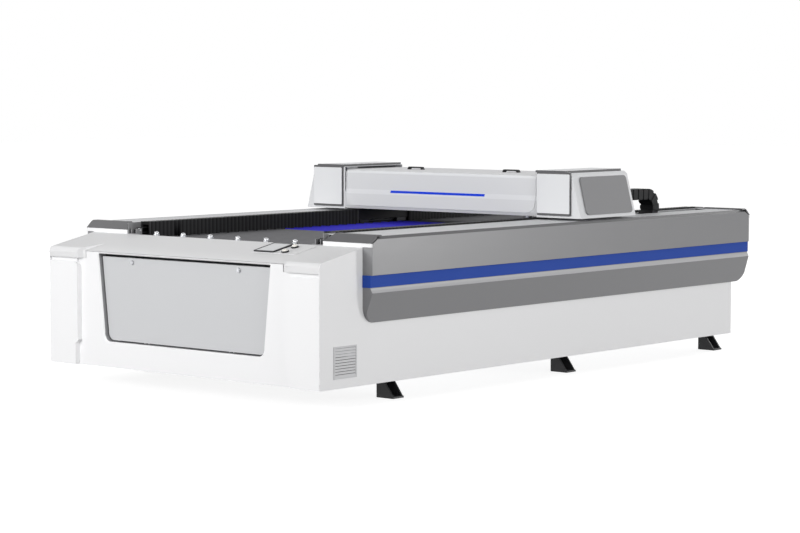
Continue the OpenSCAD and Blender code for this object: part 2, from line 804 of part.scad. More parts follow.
module cap_slope(z1) {
    along_x(way_x1, guard_x) polygon([[deck_l, z1], [deck_l + cap_back + 4, cap_z], [deck_l + cap_l, cap_z],
        [deck_l + cap_l, plate_z], [riser_y0 - weld_gap, plate_z], [riser_y0 - weld_gap, plate_z - 10]]);
}

module beam_caps() color(mid_grey) placed() both_sides() {
    both_ends() cap_wedge();
    front_bracket();
    rear_bracket();
}

module cap_plinths() color(white) placed() both_sides() both_ends() {
    bar(way_x1 + 1, beam_x1 - 1, deck_l + weld_gap, riser_y0 - weld_gap, way_z + weld_gap, plinth_z1);
    bar(beam_x1 - 2, guard_x, deck_l + weld_gap, beam_y0, plinth_z0, plinth_z1);
}

module guide_rails() color(steel) placed() both_sides() along_y(beam_y0 + bracket_t / 2, beam_y1 - bracket_t) {
    w = rail_w / 2;
    h = rail_h;
    translate([way_x, way_z]) polygon([[-w, 0], [w, 0], [w, h * 0.35], [w - 3, h * 0.5], [w, h * 0.7], [w, h],
        [-w, h], [-w, h * 0.7], [-w + 3, h * 0.5], [-w, h * 0.35]]);
}

module y_belts() color(black) placed() both_sides() along_x(way_x - belt_w / 2, way_x + belt_w / 2)
    translate([front_pulley_y, pulley_z]) belt_loop(rear_pulley_y - front_pulley_y, belt_r, belt_t);

// Right-hand bellows between two places along the way: folded flanks, a plain top and a tunnel for rail and belt
module bellows(y0, y1) difference() {
    n = floor((y1 - y0) / fold_pitch);
    p = (y1 - y0) / n;
    z0 = way_z + weld_gap;
    translate([0, 0, z0]) linear_extrude(beam_z + bellows_rise - z0) polygon(concat(
        [for (i = [0:2 * n]) [bellows_x0 + (i % 2) * fold_d, y0 + i * p / 2]],
        [for (i = [2 * n:-1:0]) [bellows_x1 - (i % 2) * fold_d, y0 + i * p / 2]]));
    bar(way_x - tunnel_w / 2, way_x + tunnel_w / 2, y0 - 1, y1 + 1, z0 - 1, beam_z - 5);
}

module front_bellows() color(black) placed() both_sides() bellows(beam_y0 + bellows_set, carriage_y0 - 0.5);

module rear_bellows() color(black) placed() both_sides() bellows(carriage_y1 + 0.5, rear_pulley_y - pulley_room - 0.1);

// Bed

// Knife slats between two places along the bed
module slats(y0, y1) {
    n = floor((y1 - y0) / slat_pitch);
    p = (y1 - y0) / n;
    for (i = [0:n - 1]) translate([0, y0 + (i + 0.5) * p - slat_t / 2, 0]) along_x(-bed_hw, bed_hw)
        polygon([[0, slat_z0], [slat_t, slat_z0], [slat_t, bed_z - 4], [slat_t / 2, bed_z], [0, bed_z - 4]]);
}

module steel_slats() color(dark_grey) placed() {
    slats(bed_y0, bed_y0 + bed_third);
    slats(bed_y0 + 2 * bed_third, bed_y1);
}

module blue_slats() color(blue) placed() slats(bed_y0 + bed_third, bed_y0 + 2 * bed_third);

module bed_frame() color(dark_grey) placed() {
    for (x = [-bed_hw, -carrier_w / 2, bed_hw - carrier_w])
        bar(x, x + carrier_w, bed_y0, bed_y1, carrier_z0, slat_z0);
    bar(-bed_hw, bed_hw, deck_l + 0.5, bed_y0 - weld_gap, bed_z - border_t, bed_z);
    bar(-bed_hw, bed_hw, bed_y1 + weld_gap, body_l, bed_z - border_t, bed_z);
}

module scrap_tray() color(steel) placed() {
    x = sill_x - tube_w / 2 - 30;
    y0 = feet_y[0] + 20;
    y1 = feet_y[2] + tube_w - 20;
    difference() {
        bar(-x, x, y0, y1, sill_z1, sill_z1 + tray_h);
        bar(-x + sheet_t, x - sheet_t, y0 + sheet_t, y1 - sheet_t, sill_z1 + sheet_t, sill_z1 + tray_h + 1);
    }
}

// Ball transfers

function ball_x(i) = (i - (ball_n - 1) / 2) * ball_pitch;
ball_z = bed_z + ball_rise;

module ball_cups() color(steel) placed() for (i = [0:ball_n - 1]) translate([ball_x(i), deck_l + ball_y, 0]) difference() {
    translate([0, 0, bed_z]) cylinder(r = ball_d / 2 + cup_wall, h = ball_rise - cup_drop);
    translate([0, 0, ball_z]) sphere(r = ball_d / 2 + ball_gap);
}

module ball(i) color(steel) placed() translate([ball_x(i), deck_l + ball_y, ball_z]) sphere(d = ball_d);

module ball_1() ball(0);
module ball_2() ball(1);
module ball_3() ball(2);
module ball_4() ball(3);
module ball_5() ball(4);
module ball_6() ball(5);

// Control panel

button_us = [[207, 24], [192, 110]];
console_t = 3;
base_h = 8;

module control_panel() color(pale) placed() on_deck() difference() {
    union() {
        translate([console_x, console_v, 0.1]) linear_extrude(console_t) rounded(console_w, console_l, 8);
        for (u = button_us) translate([console_x + u[0], console_v + u[1], 0.1]) cylinder(d = button_d, h = console_t + base_h);
    }
    for (u = button_us) translate([console_x + u[0], console_v + u[1], console_t]) cylinder(d = button_d - 8, h = base_h + 2);
}

module screen() color(black) placed() on_deck() translate([console_x + 12, console_v + 3, console_t + 0.1]) difference() {
    linear_extrude(7) rounded(screen_w, console_l - 6, 6);
    translate([screen_rim, screen_rim, 5]) cube([screen_w - 2 * screen_rim, console_l - 6 - 2 * screen_rim, 5]);
}

module button(u) placed() on_deck() translate([console_x + u[0], console_v + u[1], console_t + button_travel + 0.5]) {
    d = button_d - 8 - 2 * fit;
    cylinder(d = d, h = base_h);
    translate([0, 0, base_h]) cylinder(d1 = d, d2 = d - 6, h = 3);
}

module start_button() color(white) button(button_us[0]);

module stop_button() color(white) button(button_us[1]);

// Rear outlets

module exhaust_spigots() color(steel) placed() for (s = [-1, 1]) difference() {
    union() {
        rod_y(spigot_d / 2, body_l, body_l + spigot_l, s * spigot_x, spigot_z);
        rod_y(spigot_d / 2 + 25, body_l, body_l + 3, s * spigot_x, spigot_z);
    }
    rod_y(spigot_d / 2 - 3, body_l - 1, body_l + spigot_l + 1, s * spigot_x, spigot_z);
}

module cable_gland() color(black) placed() translate([sill_x - 130, body_l, body_z + 110]) rotate([-90, 0, 0]) difference() {
    union() {
        cylinder(r = gland_d / 2 + 9, h = 10, $fn = 6);
        translate([0, 0, 10]) cylinder(r = gland_d / 2 + 6, h = 8);
        translate([0, 0, 18]) cylinder(r1 = gland_d / 2 + 6, r2 = gland_d / 2 + 2, h = 12);
    }
    translate([0, 0, -1]) cylinder(d = gland_d, h = 40);
}

// Way drive

motor_x0 = way_x1 + sheet_t + weld_gap;

module y_motors() color(black) placed() both_sides() difference() {
    w = motor_w / 2;
    z0 = way_z + weld_gap;
    y = rear_pulley_y;
    union() {
        bar(motor_x0, motor_x0 + motor_l, y - w, y + w, pulley_z - w, pulley_z + w);
        bar(motor_x0 + 4, motor_x0 + 60, y - w, y + w, z0, pulley_z);
    }
    rod_x(6.05, motor_x0 - 1, motor_x0 + 20, y, pulley_z);
}

module pulley() {
    w = belt_w + 2;
    rod_x(pulley_r, way_x - w / 2, way_x + w / 2, 0, 0);
}

module drive_pulleys() color(steel) placed() translate([0, rear_pulley_y, pulley_z]) both_sides() {
    pulley();
    rod_x(6, way_x, motor_x0 + 18, 0, 0);
}

module front_idlers() color(steel) placed() translate([0, front_pulley_y, pulley_z]) both_sides() {
    pulley();
    rod_x(idler_r, way_x - tunnel_w / 2 + 2, way_x + tunnel_w / 2 - 2, 0, 0);
}

// Access panel and its latches

module access_panel() color(pale) placed() {
    y1 = door_y + door_edge;
    difference() {
        along_y(door_y, y1) door_shape(door_gap, door_drop);
        along_y(door_y + sheet_t, y1 + 1) door_shape(door_gap + sheet_t, door_drop);
        for (s = [-1, 1]) rod_y(4.2, door_y - 1, door_y + sheet_t + 1, s * latch_x, latch_z);
        for (s = [-1, 1]) bar(s * hinge_x - 21, s * hinge_x + 21, door_y + sheet_t, y1 + 1, door_z0, door_hinge_z);
    }
    for (s = [-1, 1]) {
        bar(s * hinge_x - 10, s * hinge_x + 10, door_y + 1, door_hinge_y, door_hinge_z - hinge_r, door_hinge_z + hinge_r);
        rod_x(hinge_r + 2, s * hinge_x - 10, s * hinge_x + 10, door_hinge_y, door_hinge_z);
        rod_x(hinge_r, s * hinge_x - 19, s * hinge_x + 19, door_hinge_y, door_hinge_z);
    }
}

module latch(s) color(steel) placed() {
    y = door_y;
    rod_y(4, y - 6, y + 12, s * latch_x, latch_z);
    rod_y(latch_d / 2, y - 9, y - fit, s * latch_x, latch_z);
    rod_y(latch_d / 2 - 3, y - 12, y - 9, s * latch_x, latch_z);
    bar(s * latch_x - 8, s * latch_x + 8, y + 9, y + 13, latch_z - 10, latch_z + 16);
}

module left_latch() latch(-1);

module right_latch() latch(1);

// Gantry works

module gantry_beam() color(steel) placed() {
    y1 = cross_y + cross_d;
    z1 = cross_z + cross_h;
    tube(-cross_hw, cross_hw, cross_y, y1, cross_z, z1, 0, 6);
    for (x = [-cross_hw, cross_hw - 18]) bar(x, x + 18, cross_y, y1, z1 - eps, gantry_top - sheet_t);
    for (x = [-way_x1 + 90, 0, way_x1 - 90]) difference() {
        bar(x - 10, x + 10, y1, y1 + laser_d + 20, cross_z + 40, laser_z);
        rod_x(laser_d / 2 + 0.2, x - 11, x + 11, y1 + laser_d / 2 + 10, laser_z);
    }
}

laser_z = cross_z + 110;

module laser_tube() color([0.85, 0.8, 0.85]) placed() {
    y = cross_y + cross_d + laser_d / 2 + 10;
    rod_x(laser_d / 2, -laser_l / 2, laser_l / 2, y, laser_z);
    for (s = [-1, 1]) rod_x(laser_d / 2 - 14, s * (laser_l / 2 + 15) - 15, s * (laser_l / 2 + 15) + 15, y, laser_z);
}

module x_rail() color(steel) placed()
    bar(-way_x1 + 50, way_x1 - 50, cross_y - 22, cross_y, cross_z + 45, cross_z + 68);

module x_drive() color(black) placed() {
    w = motor_w / 2;
    z1 = cross_z + cross_h;
    y0 = cross_y - belt_set;
    y1 = cross_y + cross_d;
    bar(x_end - w, x_end + w, y0 - motor_l, y0, z1 - motor_w, z1);
    bar(x_end - w, x_end + w, y0 - motor_l, y1, z1, z1 + bracket_t);
    bar(-x_end - w / 2, -x_end + w / 2, y0 - bracket_t - 2, y1, z1, z1 + bracket_t);
    bar(-x_end - w / 2, -x_end + w / 2, y0 - bracket_t - 2, y0 - 2, x_axis_z - pulley_r, z1 + eps);
    for (s = [-1, 1]) rod_y(pulley_r, y0, cross_y - 5, s * x_end, x_axis_z);
    rod_y(idler_r, y0 - bracket_t, y0 + 1, -x_end, x_axis_z);
}

module x_belt() color(black) placed() along_y(cross_y - belt_set + 2, cross_y - 7)
    translate([-x_end, x_axis_z]) belt_loop(2 * x_end, belt_r, belt_t);

module rail_blocks() color(steel) placed() both_sides() for (y = [carriage_y0 + 20, carriage_y1 - 100]) {
    slot = rail_w / 2 + 0.6;
    difference() {
        bar(way_x - carriage_hw, way_x + carriage_hw, y, y + 80, carriage_z0 - block_h, carriage_z0);
        bar(way_x - slot, way_x + slot, y - 1, y + 81, carriage_z0 - block_h - 1, way_z + rail_h + 0.6);
    }
}

module carriages() color(mid_grey) placed() both_sides() {
    hw = belt_w / 2 + 3;
    difference() {
        bar(way_x - carriage_hw, way_x + carriage_hw, carriage_y0, carriage_y1, carriage_z0, carriage_top);
        bar(way_x - hw, way_x + hw, carriage_y0 - 1, carriage_y1 + 1, carriage_z0 - 1, pulley_z + belt_r + belt_t + 0.6);
    }
    bar(way_x - carriage_hw, way_x + carriage_hw, cross_y - 20, cross_y + cross_d + 20, carriage_top - eps, cross_z);
}

// Gantry covers

// Outer line of the front cover in Y and Z, from the lower lip to the lid
function cover_line() = let (y = gantry_y, z = gantry_z) [[y + cover_lip, z], [y + cover_edge * 0.43, z], [y, z + cover_edge], [y, z + band_z0],
    [y + band_d, z + band_z0 + band_h], [y + band_d, cover_top - 20], [y + band_d + 6, cover_top - 6],
    [y + band_d + 20, cover_top], [y + 45, cover_top]];

// The outer line moved in by t, corner by corner
function moved_in(p, t) = [for (i = [0:len(p) - 1])
    let (a = i > 0 ? p[i] - p[i - 1] : p[1] - p[0], b = i < len(p) - 1 ? p[i + 1] - p[i] : a,
        na = [a[1], -a[0]] / norm(a), nb = [b[1], -b[0]] / norm(b), m = na + nb)
    p[i] + m * 2 * t / (m * m)];

module front_cover() color(pale) placed() {
    x = way_x1;
    seam = 4;
    edge = 4;
    inset = 10;
    line = cover_line();
    skin = moved_in(line, seam);
    for (x0 = [-x, x - edge])
        along_x(x0, x0 + edge) polygon(concat(line, [for (i = [len(line) - 1:-1:0]) moved_in(line, seam + sheet_t)[i]]));
    along_x(-x, x) polygon(concat(skin, [for (i = [len(line) - 1:-1:0]) moved_in(line, seam + sheet_t)[i]]));
    intersection() {
        along_x(-x, x) polygon(concat(line, [for (i = [len(line) - 1:-1:0]) moved_in(line, seam + 0.5)[i]]));
        along_y(gantry_y - 1, gantry_y + 2 * cover_lip) translate([-x + inset, gantry_z + cover_edge]) {
            translate([skin_r, 0]) square([2 * (x - inset - skin_r), gantry_h]);
            translate([0, skin_r]) square([2 * (x - inset), gantry_h]);
            for (u = [skin_r, 2 * (x - inset) - skin_r]) translate([u, skin_r]) circle(skin_r);
        }
    }
}

module rear_cover() color(pale) placed() {
    y = gantry_back;
    bar(-way_x1, way_x1, y - sheet_t, y, gantry_z, cover_top - 20);
    bar(-way_x1, way_x1, y - 30, y, gantry_z, gantry_z + sheet_t);
    for (x = [-400, 400], d = [-1, 1]) difference() {
        x0 = x + d * 25 - 8;
        bar(x0, x0 + 16, lid_hinge_y - 6, y, lid_hinge_z - 26, lid_hinge_z + 6);
        rod_x(4.05, x0 - 1, x0 + 17, lid_hinge_y, lid_hinge_z);
    }
}

module gantry_lid() color(pale) placed() {
    x = way_x1 - 2;
    z0 = cover_top - sheet_t;
    bar(-x, x, lid_y0, lid_y1, z0, cover_top);
    for (y = [lid_y0, lid_y1 - sheet_t]) bar(-x, x, y, y + sheet_t, z0 - 14, z0 + eps);
    for (c = [-400, 400]) {
        bar(c - 16, c + 16, lid_y1 - 4, lid_hinge_y, z0 - 2, cover_top);
        rod_x(6, c - 16, c + 16, lid_hinge_y, lid_hinge_z);
        rod_x(4, c - 31, c + 31, lid_hinge_y, lid_hinge_z);
    }
}

module lid_handles() color(black) placed() for (s = [-1, 1]) {
    h = handle_h;
    translate([s * handle_x - handle_l / 2, gantry_y + handle_y, cover_top]) difference() {
        along_y(-12, 12) polygon([[0, 0], [h / 2, h], [handle_l - h / 2, h], [handle_l, 0]]);
        along_y(-13, 13) polygon([[h, -1], [h + 4, h / 2], [handle_l - h - 4, h / 2], [handle_l - h, -1]]);
    }
}

// An end housing's volume, drawn in by o
module housing_form(o) {
    x1 = gantry_x - o / cos(lean_deg);
    z1 = gantry_top - o;
    x0 = o > 0 ? housing_x - 5 : housing_x;
    z0 = o > 0 ? gantry_z - 5 : gantry_z;
    lean = gantry_lean / gantry_h;
    edge = 14;
    along_y(gantry_y + o, gantry_back - o) polygon([[x0, z0], [x1 - (z0 - gantry_z) * lean, z0],
        [x1 - (z1 - edge - gantry_z) * lean, z1 - edge], [x1 - (z1 - gantry_z) * lean - edge, z1], [x0, z1]]);
}

module end_housings() color(pale) placed() both_sides() difference() {
    housing_form(0);
    housing_form(sheet_t);
}

// Dark plate over the top of an end housing, turned down behind the light front plate
module end_top_plates() color(dark_grey) placed() both_sides() {
    x0 = housing_x + 2;
    x1 = gantry_x - gantry_lean - 30;
    rise = 12;
    bar(x0, x1, gantry_y - backing_t, gantry_back - rise, gantry_top, gantry_top + rise);
    along_y(gantry_y - backing_t, gantry_y) translate([housing_x + 12, gantry_z + 13])
        rounded(plate_w + 4, gantry_h - 8, 6);
}

module end_front_plates() color(pale) placed() both_sides()
    translate([housing_x + 14, 0, gantry_z + 24]) along_y(gantry_y - backing_t - face_t, gantry_y - backing_t)
        rounded(plate_w, gantry_h - 30, 6);

module end_side_panels() color(mid_grey) placed() both_sides() translate([gantry_x, gantry_y + 54, gantry_z])
    rotate([0, -lean_deg, 0]) translate([0.1, 0, 18]) rotate([90, 0, 90]) linear_extrude(side_t)
        rounded(gantry_d - 84, lean_l - 42, 22);

// Cable chain

// A straight run of links along Y: ribs round a slimmer core
module chain_run(y0, y1, z0) {
    x = chain_w / 2;
    n = floor((y1 - y0) / link_pitch);
    p = (y1 - y0) / n;
    bar(chain_x - x + 4, chain_x + x - 4, y0, y1, z0 + 4, z0 + chain_h - 4);
    for (i = [0:n - 1]) bar(chain_x - x, chain_x + x, y0 + i * p + 6, y0 + (i + 1) * p - 6, z0, z0 + chain_h);
}

module chain_upper_run() color(black) placed() chain_run(gantry_back, bend_y - 0.5, chain_top_z);

module chain_loop() color(black) placed() {
    chain_run(bend_y - chain_tail, bend_y + eps, chain_low_z);
    x = chain_w / 2;
    translate([chain_x - x, bend_y, chain_low_z + bend_r1]) rotate([0, 90, 0]) {
        rotate([0, 0, 0]) rotate_extrude(angle = 180) translate([bend_r0 + 4, 4]) square([chain_h - 8, chain_w - 8]);
        for (i = [0:4]) rotate([0, 0, i * 36 + 6]) rotate_extrude(angle = 24) translate([bend_r0, 0]) square([chain_h, chain_w]);
    }
}

// Cutting head

module head_carriage() color(steel) placed() {
    x0 = head_x - head_w / 2;
    x1 = head_x + head_w / 2;
    difference() {
        union() {
            bar(x0, x1, head_y - 12, head_y, cross_z - 20, cross_z + cross_h - 10);
            bar(x0 + 10, x1 - 10, head_y - eps, cross_y - 4, cross_z + 33, cross_z + 75);
            bar(head_x - 36, head_x + 36, lens_y - 36, head_y - 11, cross_z - 15, cross_z + 85);
        }
        bar(x0, x1, cross_y - 22.6, cross_y, cross_z + 44.4, cross_z + 68.6);
        translate([head_x, lens_y, cross_z - 30]) cylinder(r = lens_d / 2 + fit, h = 95);
        rod_y(13, lens_y - 40, lens_y - 24, head_x, cross_z + 40);
    }
}

module lens_tube() color(steel) placed() translate([head_x, lens_y, 0]) {
    z0 = bed_z + nozzle_gap;
    r = lens_d / 2;
    difference() {
        union() {
            translate([0, 0, z0]) cylinder(r1 = 4, r2 = r - 6, h = 30);
            translate([0, 0, z0 + 30]) cylinder(r = r - 6, h = 12);
            translate([0, 0, z0 + 42]) cylinder(r = r, h = cross_z + 10 - z0 - 42);
        }
        translate([0, 0, z0 - 1]) cylinder(r = 2, h = cross_z);
    }
}

base_frame();
floor_feet();
side_beams();
side_panels();
rear_panel();
vent_louvre();
front_fascia();
corner_covers();
front_deck();
side_guards();
guard_stripes();
top_plates();
beam_caps();
cap_plinths();
guide_rails();
y_belts();
front_bellows();
rear_bellows();
steel_slats();
blue_slats();
bed_frame();
scrap_tray();
ball_cups();
control_panel();
screen();
exhaust_spigots();
cable_gland();
y_motors();
ball_1();
ball_2();
ball_3();
ball_4();
ball_5();
ball_6();
start_button();
stop_button();
access_panel();
left_latch();
right_latch();
drive_pulleys();
front_idlers();
gantry_beam();
x_rail();
carriages();
rail_blocks();
front_cover();
rear_cover();
gantry_lid();
lid_handles();
end_housings();
end_front_plates();
end_side_panels();
end_top_plates();
laser_tube();
x_drive();
x_belt();
chain_upper_run();
chain_loop();
head_carriage();
lens_tube();
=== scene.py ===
# %% [markdown]
# # A flatbed laser cutting machine
# The machine is a long white body with an open slatted bed. A gantry runs along it on two covered
# ways. The solids come from the part's frame with their real sizes, and this lesson dresses them:
# it rounds the sheet-metal edges, gives every piece a finish, adds the small trim, and lights it.

# %% Load the frame
import json
import math

import bpy
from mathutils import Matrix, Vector

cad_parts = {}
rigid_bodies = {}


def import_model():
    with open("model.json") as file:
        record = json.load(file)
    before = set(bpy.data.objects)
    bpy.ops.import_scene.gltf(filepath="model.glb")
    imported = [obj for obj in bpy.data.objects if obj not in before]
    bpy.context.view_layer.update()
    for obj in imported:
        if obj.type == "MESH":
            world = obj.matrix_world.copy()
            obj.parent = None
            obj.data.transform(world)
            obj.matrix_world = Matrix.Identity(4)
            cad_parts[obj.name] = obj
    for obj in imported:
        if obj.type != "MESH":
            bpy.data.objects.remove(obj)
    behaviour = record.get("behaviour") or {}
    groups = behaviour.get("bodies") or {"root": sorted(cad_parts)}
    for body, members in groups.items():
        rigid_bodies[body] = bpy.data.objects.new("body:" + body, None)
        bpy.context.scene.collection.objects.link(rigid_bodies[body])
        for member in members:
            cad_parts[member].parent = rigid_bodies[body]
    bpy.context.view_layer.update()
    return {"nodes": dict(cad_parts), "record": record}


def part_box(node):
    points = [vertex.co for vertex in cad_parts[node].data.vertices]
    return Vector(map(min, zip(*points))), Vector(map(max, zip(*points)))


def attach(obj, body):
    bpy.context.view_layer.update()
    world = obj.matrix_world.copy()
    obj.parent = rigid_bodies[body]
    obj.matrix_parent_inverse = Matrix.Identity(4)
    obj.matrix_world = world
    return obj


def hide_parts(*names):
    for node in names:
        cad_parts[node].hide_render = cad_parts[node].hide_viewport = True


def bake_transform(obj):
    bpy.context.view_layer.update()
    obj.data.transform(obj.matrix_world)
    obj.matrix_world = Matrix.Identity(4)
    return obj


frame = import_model()
scene = bpy.context.scene
MM = 0.001
body_of_node = {}
for body_name, body_nodes in frame["record"]["behaviour"]["bodies"].items():
    for body_node in body_nodes:
        body_of_node[body_node] = body_name
slot_of_node = {part["node"]: part["material_slot"] for part in frame["record"]["subparts"]}
print("nodes:", len(body_of_node))


# %% [markdown]
# ## Paint and metal
# Powder-coated sheet is never a perfect plain colour: it has a faint orange-peel skin and its gloss
# wanders a little. A noise texture on Object coordinates gives both, and because a finished piece
# sits at the origin, the pattern stays fixed to the metal when the piece moves.

# %% Colours and a plain finish
def tone(red, green, blue):
    """A colour given as it looks on a screen, 0 to 255, as linear light."""
    def linear(value):
        part = value / 255
        return part / 12.92 if part <= 0.04045 else ((part + 0.055) / 1.055) ** 2.4
    return (linear(red), linear(green), linear(blue), 1.0)


def new_finish(name, colour, roughness, metallic=0.0, shine=0.5):
    finish = bpy.data.materials.new(name)
    finish.use_nodes = True
    shader = finish.node_tree.nodes["Principled BSDF"]
    shader.inputs["Base Color"].default_value = colour
    shader.inputs["Roughness"].default_value = roughness
    shader.inputs["Metallic"].default_value = metallic
    shader.inputs["Specular IOR Level"].default_value = shine
    finish.diffuse_color = colour
    return finish, shader


# %% Noise, gloss and skin
BUMP_STRENGTH = 0.25


def grain(finish, scale, stretch=(1, 1, 1), detail=2.0):
    """A noise pattern fixed to the piece, drawn out along one axis for brushed metal."""
    nodes = finish.node_tree.nodes
    links = finish.node_tree.links
    place = nodes.new("ShaderNodeTexCoord")
    turn = nodes.new("ShaderNodeMapping")
    turn.inputs["Scale"].default_value = stretch
    noise = nodes.new("ShaderNodeTexNoise")
    noise.inputs["Scale"].default_value = scale
    noise.inputs["Detail"].default_value = detail
    links.new(place.outputs["Object"], turn.inputs["Vector"])
    links.new(turn.outputs["Vector"], noise.inputs["Vector"])
    return noise


def vary_gloss(finish, shader, noise, roughness, change):
    """Roughness that wanders with the noise, by the two amounts in change."""
    span = finish.node_tree.nodes.new("ShaderNodeMapRange")
    span.inputs["To Min"].default_value = roughness + change[0]
    span.inputs["To Max"].default_value = roughness + change[1]
    finish.node_tree.links.new(noise.outputs["Fac"], span.inputs["Value"])
    finish.node_tree.links.new(span.outputs["Result"], shader.inputs["Roughness"])


def raise_skin(finish, shader, noise, height):
    bump = finish.node_tree.nodes.new("ShaderNodeBump")
    bump.inputs["Strength"].default_value = BUMP_STRENGTH
    bump.inputs["Distance"].default_value = height
    finish.node_tree.links.new(noise.outputs["Fac"], bump.inputs["Height"])
    finish.node_tree.links.new(bump.outputs["Normal"], shader.inputs["Normal"])


# %% Painted sheet
PAINT_CLOUD = 9.0
PAINT_PEEL = 900.0
PAINT_GLOSS = (-0.03, 0.05)
PEEL_HEIGHT = 0.02 * MM


def powder_paint(name, colour, roughness, shine=0.5):
    finish, shader = new_finish(name, colour, roughness, 0.0, shine)
    vary_gloss(finish, shader, grain(finish, PAINT_CLOUD), roughness, PAINT_GLOSS)
    raise_skin(finish, shader, grain(finish, PAINT_PEEL), PEEL_HEIGHT)
    return finish


finishes = {
    "body_white": powder_paint("white powder paint", tone(239, 239, 240), 0.42),
    # The deck is the body's white, toned down as painted shade on the machine's top.
    "deck_pale": powder_paint("deck white with painted shade", tone(220, 220, 221), 0.5),
    "guard_grey": powder_paint("guard grey paint", tone(128, 128, 130), 0.3),
    "stripe_blue": powder_paint("stripe blue paint", tone(42, 76, 166), 0.5, 0.1),
    "cap_grey": powder_paint("cap grey paint", tone(80, 80, 82), 0.45),
    "panel_silver": powder_paint("silver cover paint", tone(226, 227, 229), 0.36),
    "side_grey": powder_paint("side panel grey", tone(130, 130, 132), 0.40),
    "plate_dark": powder_paint("dark plate paint", tone(86, 86, 88), 0.45),
    "frame_dark": powder_paint("dark frame paint", tone(78, 79, 82), 0.5),
    "foot_black": powder_paint("black foot paint", tone(42, 42, 44), 0.5),
    "slat_blue": powder_paint("blue slat paint", tone(50, 46, 180), 0.45, 0.25),
    "motor_black": powder_paint("black motor paint", tone(24, 24, 26), 0.55, 0.25),
}
print("paints by slot:", len(finishes))

# %% [markdown]
# Some pieces are lighter or darker than the rest of their slot, so each of these nodes has a paint of
# its own. A second table holds the paints that cover only some faces of a piece.

# %% Paints of single pieces
own_finish = {
    "top_plates": powder_paint("top plate paint", tone(206, 207, 209), 0.5),
    "gantry_lid": powder_paint("lid paint", tone(236, 236, 238), 0.6),
    "access_panel": powder_paint("access panel paint", tone(198, 199, 201), 0.4),
    "end_front_plates": powder_paint("end plate paint", tone(232, 233, 235), 0.34),
    "vent_louvre": powder_paint("vent paint", tone(206, 206, 208), 0.5),
}
# Most paints in this second table are painted light and shade on some faces.
second_finish = {
    # Mid grey as painted shade on the return inside the front opening.
    "opening return painted shade": powder_paint("opening edge painted shade", tone(150, 150, 152), 0.5),
    # Lighter grey as painted light on the beam cheeks beside the front bellows.
    "beam cheek painted light": powder_paint("beam cheek painted light paint", tone(140, 140, 142), 0.45),
    # Lighter grey as a painted highlight on the guards' up-facing lip.
    "lit guard lip": powder_paint("lit guard lip paint", tone(176, 176, 178), 0.4),
    # Darker grey on the guards' top faces.
    "guard top darker": powder_paint("guard top darker paint", tone(84, 84, 86), 0.45),
    # Lighter silver as a painted highlight on the front cover's upturned band.
    "light band": powder_paint("light band paint", tone(236, 237, 239), 0.34),
}
print("paints of single pieces:", len(own_finish) + len(second_finish))

# %% [markdown]
# Bare steel and aluminium keep the lines of the tool that worked them, so their noise is drawn out
# along one axis. The balls are polished, and only a trace of haze is left on them. The guide rails
# are blackened, and the latches have a satin face that doesn't glare towards the camera.

# %% Bare metal
METAL_LINES = 60.0
METAL_DETAIL = 4.0
METAL_GLOSS = (-0.08, 0.12)
ALONG_RAIL = (12, 0.3, 12)
ALONG_SLAT = (0.4, 20, 20)
ALONG_BEAM = (1, 14, 14)
NO_LINES = (1, 1, 1)


def worked_metal(name, colour, roughness, stretch):
    finish, shader = new_finish(name, colour, roughness, 1.0)
    lines = grain(finish, METAL_LINES, stretch, METAL_DETAIL)
    vary_gloss(finish, shader, lines, roughness, METAL_GLOSS)
    raise_skin(finish, shader, lines, PEEL_HEIGHT)
    return finish


finishes["slat_dark"] = worked_metal("cut slat steel", tone(108, 108, 110), 0.55, ALONG_SLAT)
finishes["rail_steel"] = worked_metal("ground rail steel", tone(196, 198, 201), 0.3, ALONG_RAIL)
finishes["cast_alu"] = worked_metal("machined aluminium", tone(206, 207, 209), 0.34, ALONG_BEAM)
finishes["ball_chrome"] = worked_metal("polished ball steel", tone(188, 189, 192), 0.12, NO_LINES)
latch_finish = worked_metal("satin latch steel", tone(186, 187, 190), 0.5, NO_LINES)
way_finish = worked_metal("blackened rail steel", tone(62, 62, 65), 0.4, ALONG_RAIL)
own_finish["left_latch"] = latch_finish
own_finish["right_latch"] = latch_finish
own_finish["guide_rails"] = way_finish
own_finish["rail_blocks"] = way_finish
print("finishes with the metals:", len(finishes))

# %% [markdown]
# Belts, cable chain and handles are dull black with a fine tooth, and the screen's rim and the
# buttons are smooth mouldings. One helper makes them all, with the height of the tooth as a value.

# %% Rubber and plastic
MOULD_TOOTH = 700.0
MOULD_GLOSS = (-0.05, 0.08)
RUBBER_TOOTH = 0.1 * MM
NYLON_TOOTH = 0.06 * MM
RIM_TOOTH = 0.03 * MM
BUTTON_TOOTH = 0.02 * MM


def moulded(name, colour, roughness, tooth, shine=0.3):
    finish, shader = new_finish(name, colour, roughness, 0.0, shine)
    skin = grain(finish, MOULD_TOOTH)
    vary_gloss(finish, shader, skin, roughness, MOULD_GLOSS)
    raise_skin(finish, shader, skin, tooth)
    return finish


finishes["belt_black"] = moulded("belt rubber", tone(36, 36, 38), 0.7, RUBBER_TOOTH)
finishes["chain_black"] = moulded("chain nylon", tone(18, 18, 20), 0.55, NYLON_TOOTH, 0.2)
finishes["handle_black"] = moulded("handle nylon", tone(28, 28, 30), 0.45, NYLON_TOOTH)
finishes["screen_black"] = moulded("screen rim", tone(44, 45, 48), 0.35, RIM_TOOTH)
finishes["button_white"] = moulded("button cap", tone(236, 233, 226), 0.3, BUTTON_TOOTH)
print("finishes with the mouldings:", len(finishes))

# %% [markdown]
# The bellows are black cloth with painted shade: darker in the valleys, with a painted highlight where
# the outer folds stand out. Stripes from a wave texture would beat against the folds and drift when
# they stretch. The distance across the guide way doesn't change in that motion, so the painted shade
# is taken from it.

# %% Bellows cloth
FOLD_DEPTH = 14 * MM


def math_node(nodes, operation):
    node = nodes.new("ShaderNodeMath")
    node.operation = operation
    return node


